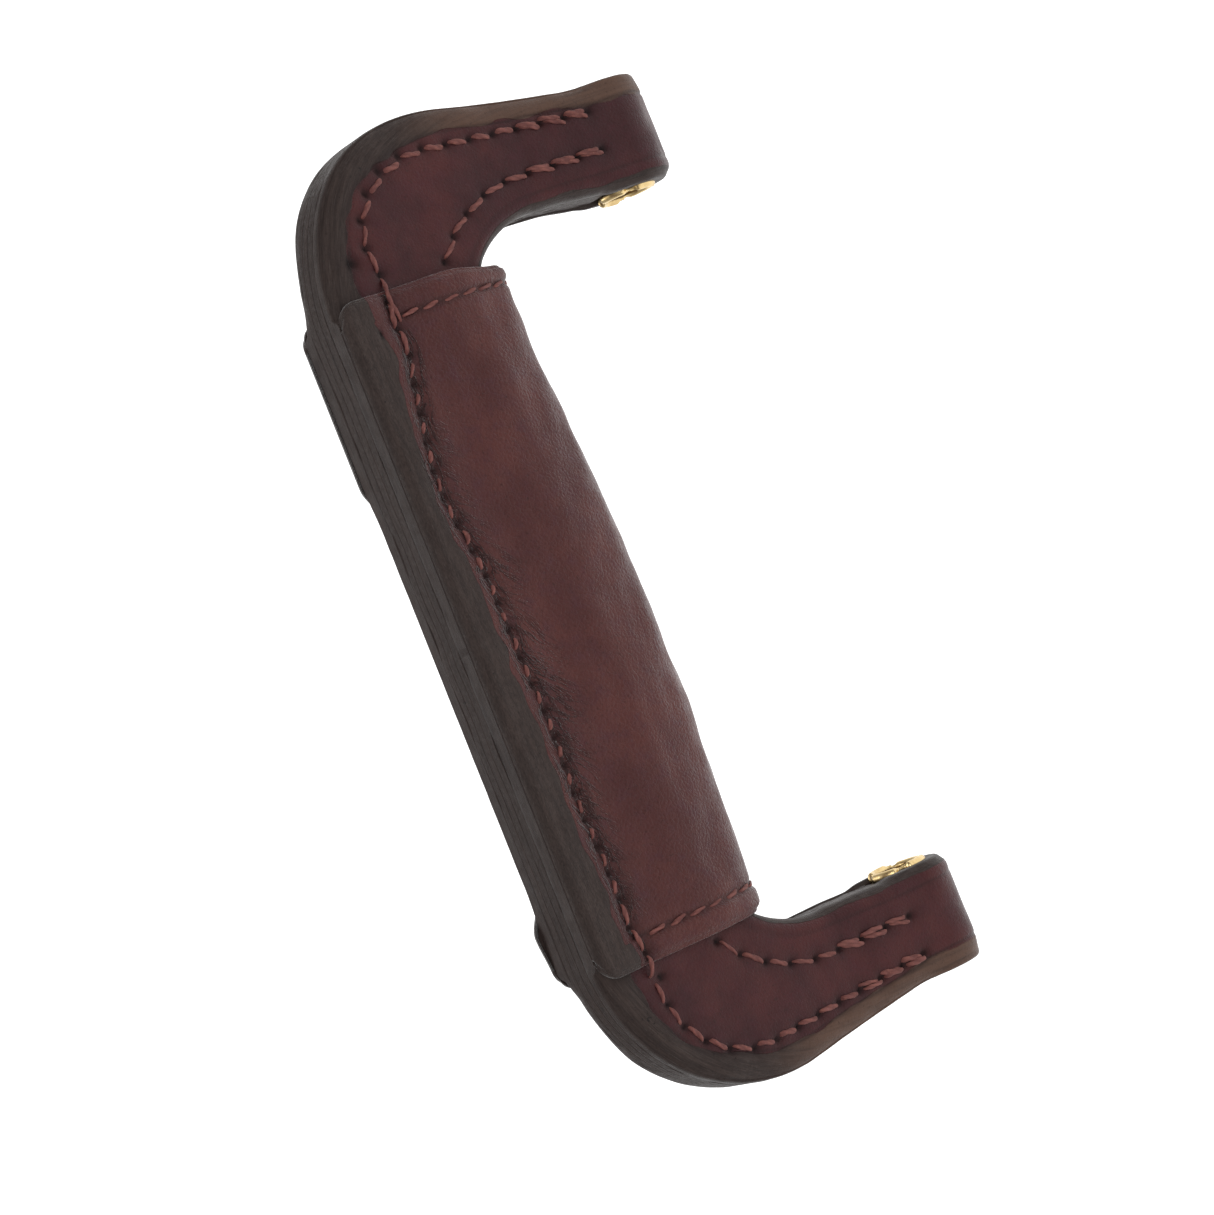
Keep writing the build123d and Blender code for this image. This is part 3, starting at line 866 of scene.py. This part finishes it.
def wrap_piece():
    n = 280
    centre = sleeve_ply(np.linspace(-1, 1, n), 0.0)
    under = sleeve_ply(np.linspace(1, -1, n), WRAP_T)
    rows = centre.shape[1]
    x, y, z = centre[..., 0], centre[..., 1], centre[..., 2]
    side = np.where(np.arange(rows) < rows / 2, -1, 1)[None, :]
    seam_z = GRIP_SEAM_Z + np.where(np.abs(x) < 44.5, waver(x), 0)
    below = seam_z - z
    low_noise, mid_noise, dye_edge = Waves(14.0, 31), Waves(4.5, 33), Waves(6.0, 41)
    holes = outer_row[np.abs(outer_row[:, 0]) < WRAP_X]
    gap = np.sqrt((x[..., None] - holes[:, 0]) ** 2 + (z[..., None] - holes[:, 1]) ** 2).min(-1)
    gap = np.where(np.abs(y) > 4.0, gap, NO_HOLE)
    pit, pull, valley = bell(gap, 0, 0.48), bell(gap, 0, 2.0), bell(below, 0, 1.3)
    nick = bell(x, 42.6, 0.7) * bell(z, 57.2, 0.28) * (y < 0)
    # where fine creases fan out from the seam into the belly of the grip
    patch = 0.60 + 0.40 * smooth(low_noise(centre * 0.8 + 7.0), -0.4, 0.6)
    longest = 3.0 + 4.6 * patch * (1 - 0.6 * smooth(-x, 8.0, 28.0))
    inboard = 1 - smooth(np.abs(x), 40.0, 43.5)
    reach = smooth(below, 0.1, 0.8) * (1 - smooth(below, 1.0, longest)) * patch
    reach = reach * inboard * (1 - smooth(x, 25.0, 33.0))
    pinch = smooth(below, -2.0, -1.0) * (1 - smooth(below, 1.0, 2.4)) * inboard
    # the hems: a stitched valley and the swollen turned edge outside it
    hem_on = smooth(below, 0.0, 1.5)
    hem_valley = bell(np.abs(np.abs(x) - HEM_X), 0, 0.55) * hem_on
    hem_rise = smooth(np.abs(x), HEM_X + 0.1, HEM_X + 1.1) * hem_on
    hem_rise = hem_rise * (1 - smooth(np.abs(x), WRAP_X - 0.9, WRAP_X))
    soft = (0.16 * low_noise(centre) + 0.06 * mid_noise(centre)) * smooth(below, -2.0, 6.0)
    margin = smooth(-below, 0.4, 2.2)
    end_share = smooth(np.abs(np.linspace(-1, 1, n)), 0.985, 1.0)
    edge_roll = 1 - np.sqrt(np.clip(1 - end_share**2 * 0.96, 0, 1))
    height = (
        soft - 0.42 * valley - 0.50 * pit - 0.20 * pull
        - 0.35 * hem_valley + 0.28 * hem_rise + 0.10 * margin - 0.25 * nick
    ) - 0.55 * edge_roll[:, None]
    # the back raw edge lies lower than the front one between its ends
    drop = 2.2 * smooth(25.0 - x, 0.0, 6.0) * smooth(x + 40.0, 0.0, 6.0) - 0.6 * bell(x, -39.5, 4.0)
    drop = drop * (y > 0) * smooth(z, SHOULDER_Z + 2.0, TOP_Z)
    points = centre + sleeve_normals(centre) * height[..., None]
    points[..., 2] -= drop
    under[..., 2] -= drop[::-1]
    right = turned_end(points[-1], under[0], 1)
    left = turned_end(under[-1], points[0], -1)
    turned = len(right)
    grid = np.concatenate([points, right, under, left])
    faces = grid_faces(len(grid), rows, True, False) + raw_edge_faces(n, turned, rows)
    dye_line = seam_z + 2.1 - 0.8 * bell(x, 22.0, 9.0) + 0.30 * dye_edge(centre)
    dye_line += 0.8 * smooth(x, 34.0, 44.0) - 0.5 * smooth(-x, 36.0, 46.0)
    dyed = smooth(z - dye_line, -0.25, 0.35)
    burn = np.ones(grid.shape[:2])
    burn[:n] = dyed
    burn[n:n + turned] = dyed[-1]
    burn[2 * n + turned:] = dyed[0]

    def spread(values, rest=0.0):
        """Values of the outer ply, carried to the whole piece."""
        whole = np.full(grid.shape[:2], rest, float)
        whole[:n] = values
        return whole.ravel()

    wander = 0.8 * mid_noise(centre * (0.6, 1, 0.6))
    fan = (x + 0.9 * below + wander, 0.32 * below, side * CREASE_PLANE)
    low_fan = (0.30 * (x + 2.0 * below), 1.1 * below + wander, side * LOW_CREASE_PLANE)
    attributes = {
        "burn": burn.ravel(),
        # the hole mask paints shade into the stitch holes and the nick
        "hole": spread(np.clip(0.8 * pit + nick, 0, 1)),
        "shade": spread(np.clip(0.22 * pull + 0.22 * valley + 0.50 * hem_valley, 0, 0.85)),
        "flow": np.stack([grid[..., 0] * 4, grid[..., 2], grid[..., 1]], -1).reshape(-1, 3),
        "reach": spread(reach), "pinch": spread(pinch), "below": spread(below, 9.0),
        "fan": np.stack([spread(values) for values in fan], -1),
        "low_fan": np.stack([spread(values) for values in low_fan], -1),
    }
    verts = grid.reshape(-1, 3)
    return add_mesh("grip_wrap", verts, faces, wrap_leather, ["grip_wrap"], attributes)


def padding_piece():
    xs = np.linspace(-43.2, 43.2, 90)
    rings = []
    lumps = Waves(8.0, 51)
    for x in xs:
        ring = grip_outline(x, WRAP_T + 0.12)
        belly = ring[FACE_ROWS + 4: -FACE_ROWS - 4]
        inward = belly.copy()
        inward[:, 0] = np.clip(inward[:, 0], -BODY_HALF - 0.05, BODY_HALF + 0.05)
        inward[:, 1] = np.maximum(inward[:, 1] + 0.8, INNER_Z + INNER_R - 0.4)
        outer3 = np.column_stack([np.full(len(belly), x), belly])
        outer3[:, 2] += 0.10 * np.abs(lumps(outer3))
        inner3 = np.column_stack([np.full(len(belly), x), inward])[::-1]
        rings.append(np.concatenate([outer3, inner3]))
    rings = np.array(rings)
    columns = rings.shape[1]
    faces = grid_faces(len(xs), columns, False, True)
    faces += [list(range(columns))[::-1], [(len(xs) - 1) * columns + j for j in range(columns)]]
    piece = add_mesh("grip_padding", rings.reshape(-1, 3), faces, felt, ["grip_padding"])
    return piece


# ---------------------------------------------------------------- threads
def stitch_tube(start, stop, out, radius, rise, twist_start, sink=0.9, bow=0.0):
    """A twisted run of thread that comes up at start, arches over and dives at stop."""
    count, around = 17, 14
    t = np.linspace(0, 1, count)
    line = start + (stop - start) * t[:, None]
    out = np.broadcast_to(out / np.linalg.norm(out), line.shape)
    arch = rise * (1 - np.abs(2 * t - 1) ** 3) - sink * np.abs(2 * t - 1) ** 7
    axis = (stop - start) / np.linalg.norm(stop - start)
    side = np.cross(out, axis)
    line = line + out * arch[:, None] + side * (bow * np.sin(math.pi * t))[:, None]
    tangent = np.gradient(line, axis=0)
    tangent /= np.linalg.norm(tangent, axis=1)[:, None]
    up = out - tangent * (out * tangent).sum(1)[:, None]
    up /= np.linalg.norm(up, axis=1)[:, None]
    across = np.cross(tangent, up)
    angle = np.linspace(0, 2 * math.pi, around, endpoint=False)[None, :]
    length = np.linalg.norm(stop - start)
    turn = twist_start + t[:, None] * length * 1.7
    lobes = np.cos(2 * (angle + turn))
    taper = 1 - 0.62 * np.abs(2 * t - 1)[:, None] ** 4
    r = radius * (1 + 0.13 * lobes) * taper
    flatten = 0.74
    ring = (
        line[:, None, :]
        + across[:, None, :] * (r * np.cos(angle))[..., None]
        + up[:, None, :] * (r * np.sin(angle) * flatten)[..., None]
    )
    # painted shade for the grooves between the twisted plies, darkest where the section dips in
    groove_shade = (0.5 - 0.5 * lobes) ** 2
    return ring, groove_shade


def thread_piece(name, runs):
    verts, faces, groove_shade, start = [], [], [], 0
    for ring, shade in runs:
        rows, columns = ring.shape[:2]
        verts.append(ring.reshape(-1, 3))
        groove_shade.append(shade.ravel())
        faces += grid_faces(rows, columns, False, True, start)
        faces.append([start + j for j in range(columns)][::-1])
        faces.append([start + (rows - 1) * columns + j for j in range(columns)])
        start += rows * columns
    attributes = {"ply_groove_shade": np.concatenate(groove_shade)}
    return add_mesh(name, np.concatenate(verts), faces, thread, [name], attributes)


def surface_point(x, z, side):
    on_wrap = abs(x) < WRAP_X and z > 50
    y = BODY_HALF + WRAP_T - 0.35 if on_wrap else face_y(z) - 0.08
    return np.array([x, side * y, z])


def out_normal(x, z, side):
    lean = FLARE * smooth(27.0 - z, 0, 3)
    return np.array([0.0, side * math.cos(lean), math.sin(lean)])


THREAD_R, HEM_THREAD_R = 0.345, 0.27
THREAD_RISE, CROSSING_RISE, SUNK_RISE = 0.12, 0.57, -0.02
SLANT, DOUBLED = 0.5, 3


def row_runs(row, seed):
    """Saddle stitches along a row on both sides, doubled at the loops.

    An inner row is doubled at its lower end alone, the outer row at both ends.
    """
    own = np.random.default_rng(seed)
    ends_doubled = len(row) > 20
    made = []
    for index in range(len(row) - 1):
        a, b = row[index], row[index + 1]
        for side in (-1, 1):
            out = out_normal(*((a + b) / 2), side)
            start = surface_point(a[0], a[1], side)
            stop = surface_point(b[0], b[1], side)
            axis = (stop - start) / np.linalg.norm(stop - start)
            across = np.cross(out, axis)
            lean = SLANT * (1 if side < 0 else -1) * (1 + 0.35 * own.normal())
            gap = 0.22 + 0.25 * own.random()
            start = start + axis * gap + across * lean * 0.5
            stop = stop - axis * gap - across * lean * 0.5
            radius = THREAD_R * (1 + 0.10 * own.normal())
            bow = 0.10 * own.normal()
            crossing = (abs(a[0]) < WRAP_X) != (abs(b[0]) < WRAP_X)
            rise = CROSSING_RISE if crossing else THREAD_RISE
            on_grip = abs(a[0]) < WRAP_X and abs(b[0]) < WRAP_X
            # one long loose stitch lies over the right end of the sleeve
            if side < 0 and crossing and a[0] > 0:
                stop = surface_point(b[0] - 3.6, b[1] - 0.9, side)
                axis = (stop - start) / np.linalg.norm(stop - start)
                bow = -0.75
            if on_grip and abs(a[0] + b[0]) < 80:
                radius *= 0.80
                rise = SUNK_RISE
                shrink = 1.2 + 0.7 * own.random()
                start = start + axis * shrink * 0.5
                stop = stop - axis * shrink * 0.5
            phase = own.uniform(0, 6.28)
            at_end = ends_doubled and index >= len(row) - 1 - DOUBLED
            if index < DOUBLED or at_end:
                shift = across * (0.36 + 0.05 * own.normal())
                slip = axis * (0.55 * own.random() + 0.25)
                upper = (start + shift * 1.2 - slip, stop + shift * 0.1)
                lower = (start - shift * 1.1, stop - shift * 0.7 + slip)
                made.append(stitch_tube(*upper, out, radius, rise, phase, bow=bow))
                made.append(stitch_tube(*lower, out, radius, rise + 0.12, phase + 1, bow=-bow))
            else:
                made.append(stitch_tube(start, stop, out, radius, rise, phase, bow=bow))
    return made


def hem_runs(x, seed):
    own = np.random.default_rng(seed)
    outline = grip_outline(x)[FACE_ROWS - 1: -FACE_ROWS + 1]
    gaps = np.linalg.norm(np.diff(outline, axis=0), axis=1)
    count = round(gaps.sum() / (PITCH * 0.80))
    spots = resample(outline, count + 1)
    made = []
    for index in range(count):
        a = np.array([x, *spots[index]])
        b = np.array([x, *spots[index + 1]])
        axis = (b - a) / np.linalg.norm(b - a)
        out = np.array([0, axis[2], -axis[1]])
        out = out * (1 if out @ ((a + b) / 2 - (x, 0, 45.0)) > 0 else -1)
        lean = 0.55 * (1 + 0.25 * own.normal())
        shift = np.array([lean * 0.5, 0, 0])
        start = a + axis * 0.12 - shift - out * 0.30
        stop = b - axis * 0.12 + shift - out * 0.30
        radius = HEM_THREAD_R * (1 + 0.08 * own.normal())
        made.append(stitch_tube(start, stop, out, radius, 0.20, own.uniform(0, 6.28), sink=0.5))
    return made


# ---------------------------------------------------------------- tubes
SPLIT_TURN = 0.35


def tube_end():
    """(radius, height beyond the leather) from the bore over the roll to the tube's outside."""
    bore = [(BORE_R, -1.5), (BORE_R, -0.5), (BORE_R + 0.03, 0.1)]
    angles = np.linspace(math.radians(170), math.radians(-60), 13)
    roll = [(3.78 + 0.60 * math.cos(a), 0.10 + 0.50 * math.sin(a)) for a in angles]
    return bore + roll + [(4.12, -0.35), (TUBE_R, -0.8)]


def tube_piece(name, mirror):
    """Brass tube along X whose ends are split and rolled outwards in four lobes."""
    around = 160
    angle = np.linspace(0, 2 * math.pi, around, endpoint=False)
    turn = (angle + math.pi / 4) % (math.pi / 2) - math.pi / 4
    lobe = smooth(math.pi / 4 - np.abs(turn), 0.12, 0.30) ** 0.6
    number = np.floor((angle + math.pi / 4) / (math.pi / 2)).astype(int) % 4
    tall = np.array([1.0, 0.82, 0.94, 0.74])[number]
    middle = (LOOP_IN + LOOP_OUT) / 2
    rings = []
    for r, out in tube_end():
        drop = (1 - lobe) * smooth(r, 3.3, 4.0)
        rings.append((out - drop * 0.75, r - drop * (r - 3.35)))
    # the outer end lies flatter in its loop than the inner end, whose lobes stand up unevenly
    stations = [(middle, BORE_R)]
    for height, radius in rings:
        stations.append((LOOP_OUT - 0.15 + np.where(height > 0, height * 0.5, height), radius))
    stations.append((middle, TUBE_R))
    for height, radius in rings[::-1]:
        stations.append((LOOP_IN - np.where(height > 0, height * tall * 1.75, height), radius))
    grid = []
    for x, radius in stations:
        x = np.broadcast_to(x, around) * mirror
        y, z = radius * np.cos(angle + SPLIT_TURN), radius * np.sin(angle + SPLIT_TURN)
        grid.append(np.column_stack([x, y, EYE_Z + z]))
    grid = np.array(grid)
    faces = grid_faces(len(grid), around, True, True)
    return add_mesh(name, grid.reshape(-1, 3), faces, brass, [name])


cover_piece()
for name, sign in (("core_front", -1), ("core_middle", 0), ("core_back", 1)):
    core_piece(name, sign)
wrap_piece()
padding_piece()
tube_piece("eye_tube_right", 1)
tube_piece("eye_tube_left", -1)
thread_piece("outer_seam", row_runs(outer_row, 61))
thread_piece("inner_seam_right", row_runs(inner_row, 62))
thread_piece("inner_seam_left", row_runs(inner_row * (-1, 1), 63))
thread_piece("hem_seam_right", hem_runs(HEM_X, 64))
thread_piece("hem_seam_left", hem_runs(-HEM_X, 65))

# ---------------------------------------------------------------- floor, light, camera
scene = bpy.context.scene
scene.view_settings.view_transform = "Standard"
FLOOR_Z = -0.11
floor_mesh = bpy.data.meshes.new("floor")
floor_corners = [(x, y, FLOOR_Z) for x, y in ((-3, -3), (3, -3), (3, 3), (-3, 3))]
floor_mesh.from_pydata(floor_corners, [], [(0, 1, 2, 3)])
floor = bpy.data.objects.new("floor", floor_mesh)
scene.collection.objects.link(floor)
floor_material, _, floor_shader = new_material("floor")
floor_shader.inputs["Base Color"].default_value = (0.95, 0.95, 0.95, 1)
floor_shader.inputs["Roughness"].default_value = 0.9
floor_shader.inputs["Emission Color"].default_value = (1, 1, 1, 1)
floor_shader.inputs["Emission Strength"].default_value = 0.62
floor_mesh.materials.append(floor_material)

world = bpy.data.worlds.new("studio")
scene.world = world
world.use_nodes = True
world.node_tree.nodes["Background"].inputs["Color"].default_value = (1, 1, 1, 1)
world.node_tree.nodes["Background"].inputs["Strength"].default_value = 0.5


def area_light(name, place, target, size, power):
    data = bpy.data.lights.new(name, "AREA")
    data.shape = "RECTANGLE"
    data.size, data.size_y = size
    data.energy = power
    lamp = bpy.data.objects.new(name, data)
    scene.collection.objects.link(lamp)
    lamp.location = place
    way = np.array(target, float) - np.array(place, float)
    lamp.rotation_euler = Vector(way).to_track_quat("-Z", "Y").to_euler()
    return lamp


area_light("key", (0.25, -0.55, 0.75), (0, 0, 0.03), (0.5, 0.5), 2.6)
area_light("fill", (-0.6, -0.6, 0.25), (0, 0, 0.03), (0.6, 0.6), 1.2)
area_light("rim", (0.1, 0.5, 0.6), (0, 0, 0.05), (0.5, 0.5), 2.0)

ELEVATION = math.radians(33)
ROLL = math.radians(21.8)
DISTANCE = 0.480
PIXELS_PER_METRE = 7300.0
IMAGE_WIDTH = 1214
target = np.array([-0.002, 0.0, 0.0359])
view = np.array([0.0, -math.cos(ELEVATION), math.sin(ELEVATION)])
right = np.array([1.0, 0.0, 0.0])
up = np.array([0.0, math.sin(ELEVATION), math.cos(ELEVATION)])
cam_right = -math.sin(ROLL) * right - math.cos(ROLL) * up
cam_up = math.cos(ROLL) * right - math.sin(ROLL) * up
camera_data = bpy.data.cameras.new("camera")
camera_data.sensor_width = 36.0
camera_data.sensor_fit = "HORIZONTAL"
camera_data.lens = 36.0 * PIXELS_PER_METRE * DISTANCE / IMAGE_WIDTH
camera_data.clip_start = 0.01
camera = bpy.data.objects.new("camera", camera_data)
scene.collection.objects.link(camera)
spot = target + view * DISTANCE
basis = np.column_stack([cam_right, cam_up, view])
matrix = Matrix.Identity(4)
for row in range(3):
    for column in range(3):
        matrix[row][column] = basis[row, column]
    matrix[row][3] = spot[row]
camera.matrix_world = matrix
scene.camera = camera
